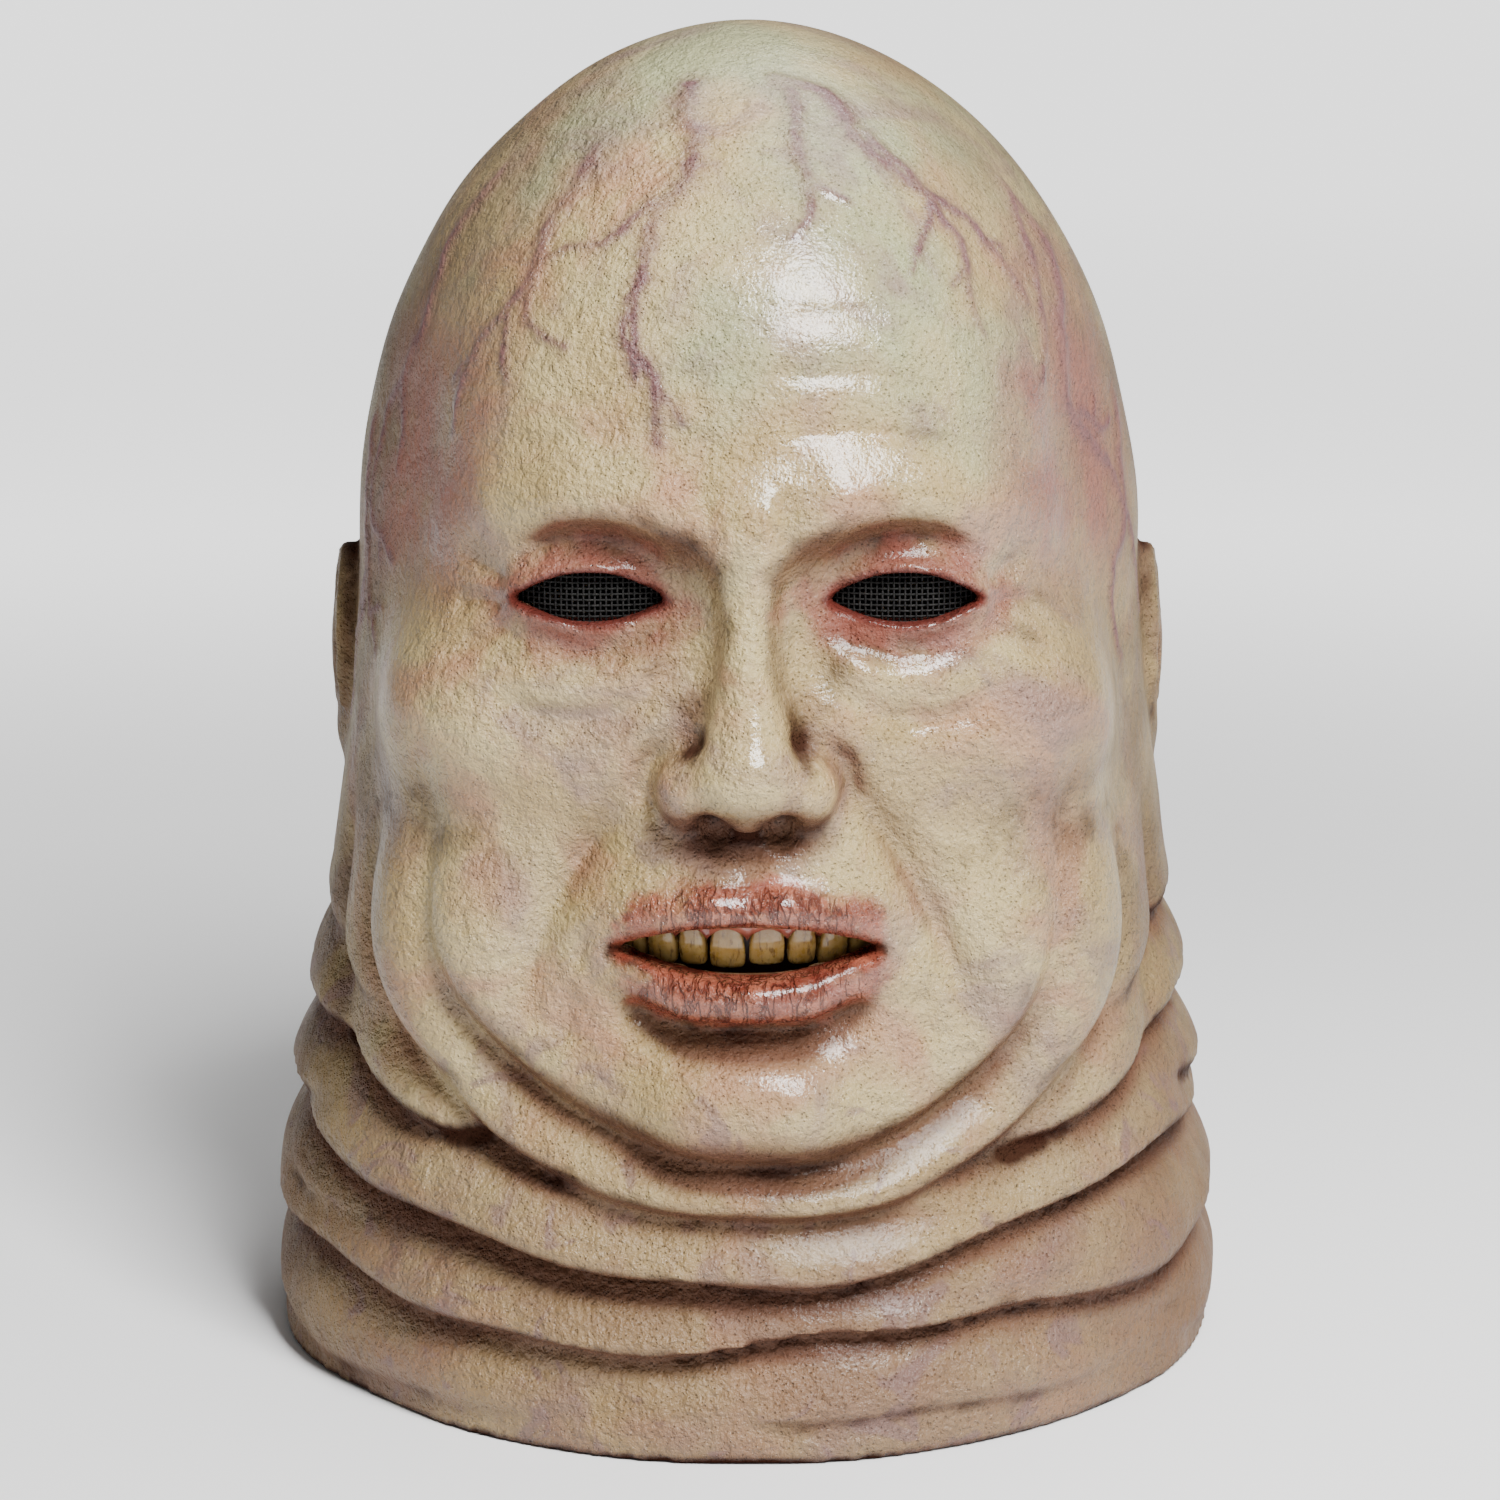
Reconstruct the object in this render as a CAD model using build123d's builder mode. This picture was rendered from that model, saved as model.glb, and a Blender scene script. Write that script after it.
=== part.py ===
"""Full-head latex Halloween mask, in millimetres.

One hollow latex casting covers the whole head and a thick folded neck. It is open at the
hem, and slit up the nape so that two flaps spread for the head. A gum strip and ten
teeth sit on a plate and flange glued behind the lips, mesh screens close the eye openings,
and foam pads take up the space round the wearer's skull.

Frame: +Z up, the hem lies on Z = 0 and is centred on the origin, the face looks
along -Y, and +X is the wearer's left.
"""

import os
from math import asin, cos, degrees, radians, sin

from build123d import *

# ---------------------------------------------------------------- driving dimensions
HEIGHT = 320  # hem to crown
SKIN = 3.0  # wall of the latex casting
GLUE = 0.3  # glue line between the casting and what is stuck inside it

EQUATOR_Z = 192  # level where the skull is widest; above it the head is an egg
# Neck and face levels: height, half width, reach to the front, reach to the back.
LEVELS = [
    (-14, 110, 106, 106),  # below the hem, cut away again
    (0, 117, 113, 113),
    (13, 121, 118, 118),
    (25, 118, 115, 116),
    (38, 120, 118, 118),
    (51, 115, 114, 111),
    (65, 115, 115, 110),
    (82, 108, 110, 102),
    (120, 104, 105, 101),
    (155, 99, 103, 106),
    (EQUATOR_Z, 95.5, 104, 112),
]
DOME_STEPS = (0.3, 0.55, 0.75, 0.9, 0.975)  # shares of the dome's height with a section

EYE_Z, EYE_X = 195, 35
EYE_SIZE = (35, 14)
MOUTH_Z = 118
MOUTH_SIZE = (62, 13)
NOSE_Z = 146  # underside of the nose
NOSE_TIP_Y = -120
NOSTRIL_X, NOSTRIL_Y = 8.5, -109.5
NOSTRIL_SIZE = (8, 3.6)
EAR_Z = 168

SLIT = 1.0  # width of the cut up the nape
SLIT_TOP = 118
RELIEF_R = 3.6  # punched teardrop that ends the slit: its round top, at SLIT_TOP
RELIEF_Z = 98  # straight sides down to here
RELIEF_END_Z = 60  # and tapered to nothing here
# Each flap folds about a line from the top of the slit to a point behind the hem. The
# line clears the neck rolls, so the flap swings out without digging into the casting.
FLAP_HEM_X = 78
FOLD_TOP_Y, FOLD_HEM_Y = 101, 110.3
FOLD_GAP = 0.8

ARCH_R = 46  # front of the teeth, about the arch's own centre
ARCH_Y = -100 + ARCH_R
TOOTH_WIDTHS = (8.6, 6.9, 7.7, 7.1, 6.6)  # from the middle outwards, on each side
TOOTH_SPACE = 0.6
TOOTH_DEPTH = 4.4
TOOTH_TIP_Z = MOUTH_Z - 5.5
TOOTH_LENGTH = 13
GUM_HALF_ANGLE = 52
GUM_BASE_R = 39  # the gum stands on the denture plate here

PAD_THICK = 10
SCREEN_THICK = 1.0


# ---------------------------------------------------------------- shared shapes
def envelope(inset):
    """Solid head and neck, inside the outer surface by inset all round."""
    _, half_width, front, back = LEVELS[-1]
    rise = HEIGHT - inset - EQUATOR_Z
    outlines = [(z, w - inset, f - inset, b - inset) for z, w, f, b in LEVELS]
    for step in DOME_STEPS:
        shrink = cos(asin(step))
        outlines.append(
            (
                EQUATOR_Z + rise * step,
                (half_width - inset) * shrink,
                (front - inset) * shrink,
                (back - inset) * shrink,
            )
        )
    with BuildPart() as body:
        sections = []
        for z, half_width, front, back in outlines:
            with BuildSketch(Plane.XY.offset(z)) as section:
                with BuildLine():
                    EllipticalCenterArc((0, 0), half_width, back, 0, arc_size=180)
                    EllipticalCenterArc((0, 0), half_width, front, 180, arc_size=180)
                make_face()
            sections.append(section.sketch)
        loft(sections=[*sections, Vertex(0, 0, HEIGHT - inset)])
        split(bisect_by=Plane.XY, keep=Keep.TOP)
    return body.part


def ellipsoid(centre, radii, tilt=0.0):
    """Ellipsoid about centre, turned by tilt degrees about X."""
    return Pos(*centre) * Rot(tilt, 0, 0) * scale(Sphere(1), by=radii)


def nose_lumps(inset):
    """Bridge, tip and two wings of the nose, inside the outer surface by inset."""
    tip_z = NOSE_Z + 13
    lumps = [
        ellipsoid((0, -99, 181), (9 - inset, 12 - inset, 28 - inset), tilt=-16),
        ellipsoid((0, NOSE_TIP_Y + 14, tip_z), (12.5 - inset, 14 - inset, 13 - inset)),
    ]
    for side in (-1, 1):
        centre = (side * 11, NOSE_TIP_Y + 21, tip_z - 4)
        lumps.append(ellipsoid(centre, (8.5 - inset, 12 - inset, 9.5 - inset)))
    return lumps


def fold_frame(side):
    """Top and bottom of a flap's fold line, and the way out from it."""
    top = Vector(0, FOLD_TOP_Y, SLIT_TOP)
    bottom = Vector(side * FLAP_HEM_X, FOLD_HEM_Y, 0)
    outward = Vector(side * FLAP_HEM_X / 2, (FOLD_TOP_Y + FOLD_HEM_Y) / 2, 0).normalized()
    return top, bottom, outward


def flap_zone(side, slit_edge, fold_shift):
    """Block that holds one nape flap: beside the slit and under the fold line."""
    top, bottom, outward = fold_frame(side)
    down_fold = (bottom - top).normalized()
    towards_slit = down_fold.cross(outward) * -side
    fold_plane = Plane(
        origin=top - towards_slit * fold_shift, x_dir=down_fold, z_dir=towards_slit
    )
    with BuildPart() as zone:
        with Locations((side * (slit_edge + 75), 110, SLIT_TOP / 2)):
            Box(150, 120, SLIT_TOP + 60)
        split(bisect_by=fold_plane, keep=Keep.TOP)
    return zone.part


outer_envelope = envelope(0)
inner_envelope = envelope(SKIN)
glued_envelope = envelope(SKIN + GLUE)  # what is stuck inside starts here
padded_envelope = envelope(SKIN + GLUE + PAD_THICK)
screened_envelope = envelope(SKIN + GLUE + SCREEN_THICK)
outer_nose = nose_lumps(0)
inner_nose = nose_lumps(SKIN)
ear_lumps = [
    ellipsoid((side * 100, 8, EAR_Z), (6.5, 15, 27), tilt=8) for side in (-1, 1)
]
ear_hollows = [
    ellipsoid((side * 107, 5, EAR_Z + 2), (5, 7, 13), tilt=8) for side in (-1, 1)
]

# ---------------------------------------------------------------- latex casting
with BuildPart() as casting:
    add(outer_envelope)
    add(outer_nose)
    add(ear_lumps)
    add(inner_envelope, mode=Mode.SUBTRACT)
    add(inner_nose, mode=Mode.SUBTRACT)
    add(ear_hollows, mode=Mode.SUBTRACT)
    # Eye openings, cut through the front wall.
    for side in (-1, 1):
        with BuildSketch(Plane.XZ.offset(60)):
            with Locations((side * EYE_X, EYE_Z)):
                Ellipse(EYE_SIZE[0] / 2, EYE_SIZE[1] / 2)
        extrude(amount=80, mode=Mode.SUBTRACT)
    # Mouth.
    with BuildSketch(Plane.XZ.offset(60)):
        with Locations((0, MOUTH_Z)):
            SlotOverall(*MOUTH_SIZE)
    extrude(amount=80, mode=Mode.SUBTRACT)
    # Nostrils, cut up through the underside of the nose.
    with BuildSketch(Plane.XY.offset(NOSE_Z - 6)):
        with Locations((-NOSTRIL_X, NOSTRIL_Y), (NOSTRIL_X, NOSTRIL_Y)):
            SlotOverall(*NOSTRIL_SIZE, rotation=90)
    extrude(amount=16, mode=Mode.SUBTRACT)
    # Teardrop that stops the slit from tearing.
    with BuildSketch(Plane.XZ.offset(-60)):
        with BuildLine():
            Polyline(
                (-RELIEF_R, SLIT_TOP),
                (-RELIEF_R, RELIEF_Z),
                (0, RELIEF_END_Z),
                (RELIEF_R, RELIEF_Z),
                (RELIEF_R, SLIT_TOP),
            )
            CenterArc((0, SLIT_TOP), RELIEF_R, 0, 180)
        make_face()
    extrude(amount=-80, mode=Mode.SUBTRACT)

with BuildPart() as latex_skin:
    add(casting.part)
    for side in (-1, 1):
        add(flap_zone(side, 0, FOLD_GAP), mode=Mode.SUBTRACT)
latex_skin.part.label = "latex_skin"

# ---------------------------------------------------------------- nape flaps
with BuildPart() as nape_flap_left:
    add(casting.part)
    add(flap_zone(1, SLIT / 2, 0), mode=Mode.INTERSECT)
nape_flap_left.part.label = "nape_flap_left"

with BuildPart() as nape_flap_right:
    add(casting.part)
    add(flap_zone(-1, SLIT / 2, 0), mode=Mode.INTERSECT)
nape_flap_right.part.label = "nape_flap_right"

# ---------------------------------------------------------------- slit reinforcement
with BuildPart() as slit_patch:
    add(glued_envelope)
    add(screened_envelope, mode=Mode.SUBTRACT)
    with BuildSketch(Plane.XZ.offset(-60)):
        with Locations((0, SLIT_TOP + RELIEF_R + 13)):
            RectangleRounded(46, 22, 8)
    extrude(amount=-80, mode=Mode.INTERSECT)
slit_patch.part.label = "slit_patch"


# ---------------------------------------------------------------- eye screens
def eye_screen(side):
    """Mesh patch glued behind one eye opening."""
    with BuildPart() as screen:
        add(glued_envelope)
        add(screened_envelope, mode=Mode.SUBTRACT)
        with BuildSketch(Plane.XZ.offset(60)):
            with Locations((side * EYE_X, EYE_Z)):
                Ellipse(EYE_SIZE[0] / 2 + 6, EYE_SIZE[1] / 2 + 6)
        extrude(amount=80, mode=Mode.INTERSECT)
    return screen


eye_screen_left = eye_screen(1)
eye_screen_left.part.label = "eye_screen_left"
eye_screen_right = eye_screen(-1)
eye_screen_right.part.label = "eye_screen_right"

# ---------------------------------------------------------------- teeth
with BuildPart() as upper_teeth:
    reach = 0.0
    for width in TOOTH_WIDTHS:
        turn = degrees((reach + width / 2 + TOOTH_SPACE / 2) / ARCH_R)
        reach += width + TOOTH_SPACE
        for side in (-1, 1):
            angle = radians(-90 + side * turn)
            middle_r = ARCH_R - TOOTH_DEPTH / 2
            face = Plane(
                origin=(middle_r * cos(angle), ARCH_Y + middle_r * sin(angle), TOOTH_TIP_Z),
                x_dir=(-sin(angle), cos(angle), 0),
                z_dir=(0, 0, 1),
            )
            with BuildSketch(face):
                RectangleRounded(width, TOOTH_DEPTH, 2.1)
            extrude(amount=TOOTH_LENGTH)
    tips = upper_teeth.faces().group_by(Axis.Z)[0].edges()
    fillet(tips, radius=1.0)
upper_teeth.part.label = "upper_teeth"

# ---------------------------------------------------------------- gum, plate and flange
gum_start = radians(-90 - GUM_HALF_ANGLE)
gum_plane = Plane(
    origin=(0, ARCH_Y, 0),
    x_dir=(cos(gum_start), sin(gum_start), 0),
    z_dir=(sin(gum_start), -cos(gum_start), 0),
)
arch_axis = Axis((0, ARCH_Y, 0), (0, 0, 1))
gum_top = TOOTH_TIP_Z + TOOTH_LENGTH + 4
mouth_edge = Plane.XZ.offset(60)

with BuildPart() as mouth_flange:
    add(glued_envelope)
    add(envelope(SKIN + GLUE + 1.6), mode=Mode.SUBTRACT)
    with BuildSketch(mouth_edge):
        with Locations((0, MOUTH_Z + 1)):
            RectangleRounded(MOUTH_SIZE[0] + 22, MOUTH_SIZE[1] + 26, 14)
            SlotOverall(MOUTH_SIZE[0] + 4, MOUTH_SIZE[1] + 4, mode=Mode.SUBTRACT)
    extrude(amount=80, mode=Mode.INTERSECT)
mouth_flange.part.label = "mouth_flange"

with BuildPart() as upper_gum:
    with BuildSketch(gum_plane):
        with Locations(((GUM_BASE_R + ARCH_R + 0.8) / 2, gum_top - 6.5)):
            RectangleRounded(ARCH_R + 0.8 - GUM_BASE_R, 13, 2.2)
    revolve(axis=arch_axis, revolution_arc=2 * GUM_HALF_ANGLE)
    add(upper_teeth.part, mode=Mode.SUBTRACT)
    add(mouth_flange.part, mode=Mode.SUBTRACT)
upper_gum.part.label = "upper_gum"

with BuildPart() as denture_plate:
    with BuildSketch(gum_plane):
        with Locations((GUM_BASE_R - 1, MOUTH_Z)):
            RectangleRounded(2, 34, 0.8)
    revolve(axis=arch_axis, revolution_arc=2 * GUM_HALF_ANGLE)
    add(mouth_flange.part, mode=Mode.SUBTRACT)
denture_plate.part.label = "denture_plate"


# ---------------------------------------------------------------- foam pads
def foam_pad(plane, centre, size, corner):
    """Foam pad glued inside the casting, cut to a rounded rectangle seen along plane's normal."""
    with BuildPart() as pad:
        add(glued_envelope)
        add(padded_envelope, mode=Mode.SUBTRACT)
        with BuildSketch(plane):
            with Locations(centre):
                RectangleRounded(*size, corner)
        extrude(amount=140, mode=Mode.INTERSECT)
    return pad


crown_pad = foam_pad(Plane.XY.offset(EQUATOR_Z), (0, 4), (84, 96), 34)
crown_pad.part.label = "crown_pad"
brow_pad = foam_pad(Plane.front, (0, 239), (92, 30), 13)
brow_pad.part.label = "brow_pad"
nape_pad = foam_pad(Plane.back, (0, 178), (76, 44), 16)
nape_pad.part.label = "nape_pad"
temple_pad_left = foam_pad(Plane.right, (4, 205), (66, 56), 20)
temple_pad_left.part.label = "temple_pad_left"
temple_pad_right = foam_pad(Plane.left, (-4, 205), (66, 56), 20)
temple_pad_right.part.label = "temple_pad_right"

# ---------------------------------------------------------------- files
os.makedirs("parts", exist_ok=True)
for piece in (
    latex_skin,
    nape_flap_left,
    nape_flap_right,
    slit_patch,
    eye_screen_left,
    eye_screen_right,
    upper_teeth,
    upper_gum,
    denture_plate,
    mouth_flange,
    crown_pad,
    brow_pad,
    nape_pad,
    temple_pad_left,
    temple_pad_right,
):
    export_step(piece.part, f"parts/{piece.part.label}.step")
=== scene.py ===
"""Latex Halloween mask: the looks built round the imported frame.

The head is sculpted as a distance field in millimetres, turned into an even latex wall, cut
open at the eyes, mouth, nostrils, hem and nape slit, and meshed. Fittings inside follow.
"""
import copy
import math

import bmesh
import bpy
import numpy as np
import openvdb as vdb
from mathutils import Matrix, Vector


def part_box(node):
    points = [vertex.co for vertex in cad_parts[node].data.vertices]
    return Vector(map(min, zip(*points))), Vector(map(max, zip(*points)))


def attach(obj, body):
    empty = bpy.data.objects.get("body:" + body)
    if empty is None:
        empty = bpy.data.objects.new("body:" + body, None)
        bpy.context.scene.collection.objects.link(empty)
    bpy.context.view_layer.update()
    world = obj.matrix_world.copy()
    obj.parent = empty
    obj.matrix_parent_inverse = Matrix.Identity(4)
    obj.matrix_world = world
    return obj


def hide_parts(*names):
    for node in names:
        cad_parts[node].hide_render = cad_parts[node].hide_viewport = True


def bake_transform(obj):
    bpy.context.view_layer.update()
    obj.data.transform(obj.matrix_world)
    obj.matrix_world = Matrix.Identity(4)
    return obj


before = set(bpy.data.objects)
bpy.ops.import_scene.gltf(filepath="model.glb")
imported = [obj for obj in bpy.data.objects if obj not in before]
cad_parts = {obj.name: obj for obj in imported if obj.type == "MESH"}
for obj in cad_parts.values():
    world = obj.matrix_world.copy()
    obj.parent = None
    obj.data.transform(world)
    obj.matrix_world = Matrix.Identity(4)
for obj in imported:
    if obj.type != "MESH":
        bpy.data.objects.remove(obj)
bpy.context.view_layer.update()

# ---- driving numbers, mm
MM = 0.001
CROWN_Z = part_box("latex_skin")[1].z / MM
EQUATOR_Z = 192.0
WALL = 3.2
SKIN_VOXEL = 1.4
FINE_VOXEL = 0.45
LINING_VOXEL = 1.6

# height, half width, reach to the front, reach to the back
LEVELS = (
    (-30, 112, 110, 110),
    (0, 118, 114, 114),
    (20, 120, 117, 117),
    (45, 118, 116, 114),
    (70, 114, 113, 109),
    (95, 109, 108, 103),
    (120, 104, 105, 101),
    (155, 99, 103, 106),
    (192, 95.5, 104, 112),
)

EYE_X, EYE_Z = 35.0, 195.0
EYE_HALF = 17.5
LID_Y = -82.0  # centre of the bulge of the lids
LID_RADII = (20.5, 14.5, 13.5)
MOUTH_Z = 118.0
MOUTH_HALF = 31.0
NOSTRIL, NOSTRIL_RADII = (7.8, -106.0, 150.0), (2.7, 5.2, 8.0)
ARCH_R = 46.0  # arch of the teeth, round an upright axis at ARCH_Y
ARCH_Y = -54.0
TOOTH_WIDTHS = (8.6, 6.9, 7.7, 7.1, 6.6)
TOOTH_SPACE = 0.6
TOOTH_TIP_Z = 112.5
TOOTH_LENGTH = 13.0
SLIT_TOP = 118.0
RELIEF_R = 3.6  # teardrop at the top of the nape slit
RELIEF_Z = 98.0
RELIEF_END_Z = 60.0
SPLIT_Y = 30.0  # the skin is made in a front piece and two back quarters that meet here
SKIN_LOW, SKIN_HIGH = (-138, -142, -14), (138, 138, 330)
HEM_STUB_Z = -9.0  # the block is sculpted down to here and the wall is cut off at 0
FAR_VEIN = 6.0  # vein radii, past which a point has no vein
VEIN_STEP = 3.0
VEIN_LIFT = 0.6
NET_PITCH, NET_HALF = 1.25, 0.2  # of the eye nets, from thread to thread and half a thread
NET_SPAN, NET_RISE = 18.3, 10.6
THREAD_PITCH = 0.0012  # m, of the cloth patches


# ---- field helpers
def smoothstep(low, high, value):
    t = np.clip((value - low) / (high - low), 0.0, 1.0)
    return t * t * (3 - 2 * t)


def join(a, b, k):
    """Union of two distance fields, rounded over about k."""
    h = np.clip(0.5 + 0.5 * (b - a) / k, 0.0, 1.0)
    return b + (a - b) * h - k * h * (1 - h)


def carve(a, b, k):
    """Field a with b taken out, rounded over about k."""
    return -join(-a, b, k)


def waves(x, y, z, wavelength, seed):
    """Smooth seeded noise between about -1 and 1."""
    random = np.random.default_rng(seed)
    total = np.zeros_like(x)
    for _ in range(7):
        direction = random.normal(size=3)
        direction *= 2 * math.pi / wavelength * random.uniform(0.7, 1.4) / np.linalg.norm(direction)
        phase = random.uniform(0, 2 * math.pi)
        total += np.sin(direction[0] * x + direction[1] * y + direction[2] * z + phase)
    return total / 3.5


def ellipsoid(offsets, radii):
    """Near its surface, the distance to an ellipsoid from offsets to its centre."""
    scaled = [offset / radius for offset, radius in zip(offsets, radii)]
    size = np.sqrt(sum(share**2 for share in scaled)) + 1e-4
    slope = np.sqrt(sum((share / radius) ** 2 for share, radius in zip(scaled, radii)))
    return size * (size - 1) / (slope + 1e-5)


def level_tables():
    """Half width, front reach and back reach for every millimetre of height, smoothed."""
    heights = np.arange(-60.0, 260.0)
    knots = np.array(LEVELS, float)
    kernel = np.exp(-0.5 * (np.arange(-18, 19) / 6.0) ** 2)
    kernel /= kernel.sum()
    tables = []
    for column in (1, 2, 3):
        values = np.interp(heights, knots[:, 0], knots[:, column])
        padded = np.pad(values, 18, mode="edge")
        tables.append(np.convolve(padded, kernel, mode="valid").astype(np.float32))
    return heights.astype(np.float32), tables


HEIGHTS, LEVEL_TABLES = level_tables()


def head_base(x, y, z):
    """Distance to the plain head and neck: half ellipses at each height, a dome on top."""
    below = np.minimum(z, EQUATOR_Z)
    half, front, back = (
        np.interp(below, HEIGHTS, table).astype(np.float32) for table in LEVEL_TABLES
    )
    above = np.maximum(z - EQUATOR_Z, 0.0)
    return ellipsoid((x, y, above), (half, np.where(y < 0, front, back), CROWN_Z - EQUATOR_Z))


def rope_distance(x, y, z, knots, radii):
    """Distance to a rope through knots whose radius changes from knot to knot."""
    nearest = np.full_like(x, 1e3)
    for a, b, ra, rb in zip(knots, knots[1:], radii, radii[1:]):
        a, b = np.array(a, np.float32), np.array(b, np.float32)
        ab = b - a
        dx, dy, dz = x - a[0], y - a[1], z - a[2]
        t = np.clip((dx * ab[0] + dy * ab[1] + dz * ab[2]) / (ab @ ab), 0, 1)
        gap = np.sqrt((dx - t * ab[0]) ** 2 + (dy - t * ab[1]) ** 2 + (dz - t * ab[2]) ** 2)
        nearest = np.minimum(nearest, gap - (ra + (rb - ra) * t))
    return nearest


def line_distance(q, z, knots):
    """Distance in the unrolled (q, z) plane to a line through knots, and the share along it."""
    nearest, along = np.full_like(q, 1e3), np.zeros_like(q)
    for number, (a, b) in enumerate(zip(knots, knots[1:])):
        a, b = np.array(a, np.float32), np.array(b, np.float32)
        ab = b - a
        t = np.clip(((q - a[0]) * ab[0] + (z - a[1]) * ab[1]) / (ab @ ab), 0, 1)
        gap = np.hypot(q - a[0] - t * ab[0], z - a[1] - t * ab[1])
        along = np.where(gap < nearest, (number + t) / (len(knots) - 1), along)
        nearest = np.minimum(nearest, gap)
    return nearest, along


def faded(along, start, end):
    """1 along a line, down to 0 over the shares start and end at its two ends."""
    return smoothstep(0, start + 1e-3, along) * smoothstep(0, end + 1e-3, 1 - along)


def fold(gap):
    """Profile of a crease between two round rolls: 1 in the crease, 0 a width away."""
    rounded = np.clip(np.sqrt(gap**2 + 0.12**2), 0, 1)
    return 1.35 * (1 - np.sqrt(1 - (1 - rounded) ** 2))


def smooth_line(knots, steps=5):
    """More points along a Catmull-Rom curve through knots."""
    knots = np.array(knots, float)
    padded = np.vstack([2 * knots[0] - knots[1], knots, 2 * knots[-1] - knots[-2]])
    points = []
    for p0, p1, p2, p3 in zip(padded, padded[1:], padded[2:], padded[3:]):
        bend = 2 * p0 - 5 * p1 + 4 * p2 - p3
        twist = 3 * p1 - p0 - 3 * p2 + p3
        for t in np.arange(steps) / steps:
            points.append(p1 + 0.5 * ((p2 - p0) * t + bend * t**2 + twist * t**3))
    points.append(knots[-1])
    return np.array(points)


class Clay:
    """Points of space with the distance to the sculpted head, worked on one form at a time.

    s is the distance from the middle plane, rounded so that mirrored forms meet smoothly.
    q is the way round the head from the middle of the face, at a radius of 100.
    """

    def __init__(self, points):
        self.x, self.y, self.z = (np.ascontiguousarray(c, np.float32) for c in points.T)
        self.s = np.sqrt(self.x**2 + 4.0)
        self.q = 100 * np.arctan2(self.s, -self.y)
        self.side = 100 * np.arctan2(self.x, -self.y)
        self.d = head_base(self.x, self.y, self.z)

    def near(self, low, high, margin):
        """Indices of the points in a box given by its corners in (s, y, z)."""
        inside = np.ones(len(self.s), bool)
        for values, a, b in zip((self.s, self.y, self.z), low, high):
            inside &= (values > a - margin) & (values < b + margin)
        return np.nonzero(inside)[0]

    def turned(self, pivot, degrees):
        """The same clay in a frame turned about an upright line through an (s, y) pivot."""
        cos, sin = math.cos(math.radians(degrees)), math.sin(math.radians(degrees))
        ds, dy = self.s - pivot[0], self.y - pivot[1]
        other = copy.copy(self)
        other.s, other.y = pivot[0] + ds * cos - dy * sin, pivot[1] + dy * cos + ds * sin
        return other

    def add(self, i, form, k, cut):
        """Joins a form, known at the points i, to the clay, or cuts it out."""
        self.d[i] = carve(self.d[i], form, k) if cut else join(self.d[i], form, k)

    def ball(self, centre, radii, k, tilt=0.0, cut=False):
        """Adds an ellipsoid, mirrored, or cuts it out. Tilt turns it about X, in degrees."""
        centre, radii = np.array(centre, np.float32), np.array(radii, np.float32)
        reach = max(radii)
        i = self.near(centre - reach, centre + reach, 2 * k + 6)
        ds, dy, dz = self.s[i] - centre[0], self.y[i] - centre[1], self.z[i] - centre[2]
        cos, sin = math.cos(math.radians(tilt)), math.sin(math.radians(tilt))
        self.add(i, ellipsoid((ds, dy * cos + dz * sin, dz * cos - dy * sin), radii), k, cut)

    def rope(self, knots, radii, k, cut=False):
        """Adds a rope through knots, mirrored, or cuts it out."""
        knots = np.array(knots, np.float32)
        i = self.near(knots.min(0), knots.max(0), max(radii) + 2 * k + 4)
        self.add(i, rope_distance(self.s[i], self.y[i], self.z[i], knots, radii), k, cut)

    def groove(self, knots, width, depth, fade=(0.25, 0.25)):
        """Presses a mirrored crease into the surface along a line of (q, z) knots."""
        line = smooth_line(knots)
        low, high = line.min(0) - width, line.max(0) + width
        i = np.nonzero(
            (self.q > low[0]) & (self.q < high[0]) & (self.z > low[1]) & (self.z < high[1])
        )[0]
        gap, along = line_distance(self.q[i], self.z[i], line)
        self.d[i] += depth * faded(along, *fade) * np.clip(1 - gap / width, 0, 1) ** 1.6

    def jowl(self, knots, width, depth, fade=(0.3, 0.0)):
        """Presses a deep crease between two rolls of fat, which wanders a little."""
        line = smooth_line(knots)
        q = self.q + 2.2 * waves(self.x, self.y, self.z, 70, 21)
        z = self.z + 0.6 * np.clip(self.d, -10, 6) + 1.6 * waves(self.x, self.y, self.z, 60, 22)
        gap, along = line_distance(q, z, line)
        self.d += depth * faded(along, *fade) * fold(gap / width)

    def swell(self, centre, radii, height):
        """Raises or lowers the surface by height over a soft (q, z) spot."""
        gap = ((self.q - centre[0]) / radii[0]) ** 2 + ((self.z - centre[1]) / radii[1]) ** 2
        self.d -= height * np.exp(-gap)


# ---- the face and head
def eye_slit(s, z):
    """Below 0 inside the almond between the lids, seen from the front."""
    u2 = ((s - EYE_X) / EYE_HALF) ** 2
    return np.maximum(z - EYE_Z - 6.2 * (1 - u2), EYE_Z - 5.0 * (1 - u2) - z)


def mouth_slit(s, z):
    """Below 0 inside the gap between the lips, seen from the front."""
    u2 = (s / MOUTH_HALF) ** 2
    return np.maximum(z - MOUTH_Z - 6.6 * (1 - u2), MOUTH_Z - 6.0 * (1 - u2) - z)


# knots and radii of the upper and the lower lip
LIPS = (
    (
        ((0, -109.2, 127.2), (8, -109.6, 128.4), (18, -106, 126.6), (27, -99.5, 122.6), (33.5, -93, 118)),
        (4.0, 4.7, 4.4, 3.4, 2.0),
    ),
    (
        ((0, -109.2, 107.6), (13, -107.4, 107.8), (24, -101.6, 111), (33.5, -93, 117)),
        (5.4, 5.2, 4.2, 2.0),
    ),
)


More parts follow.
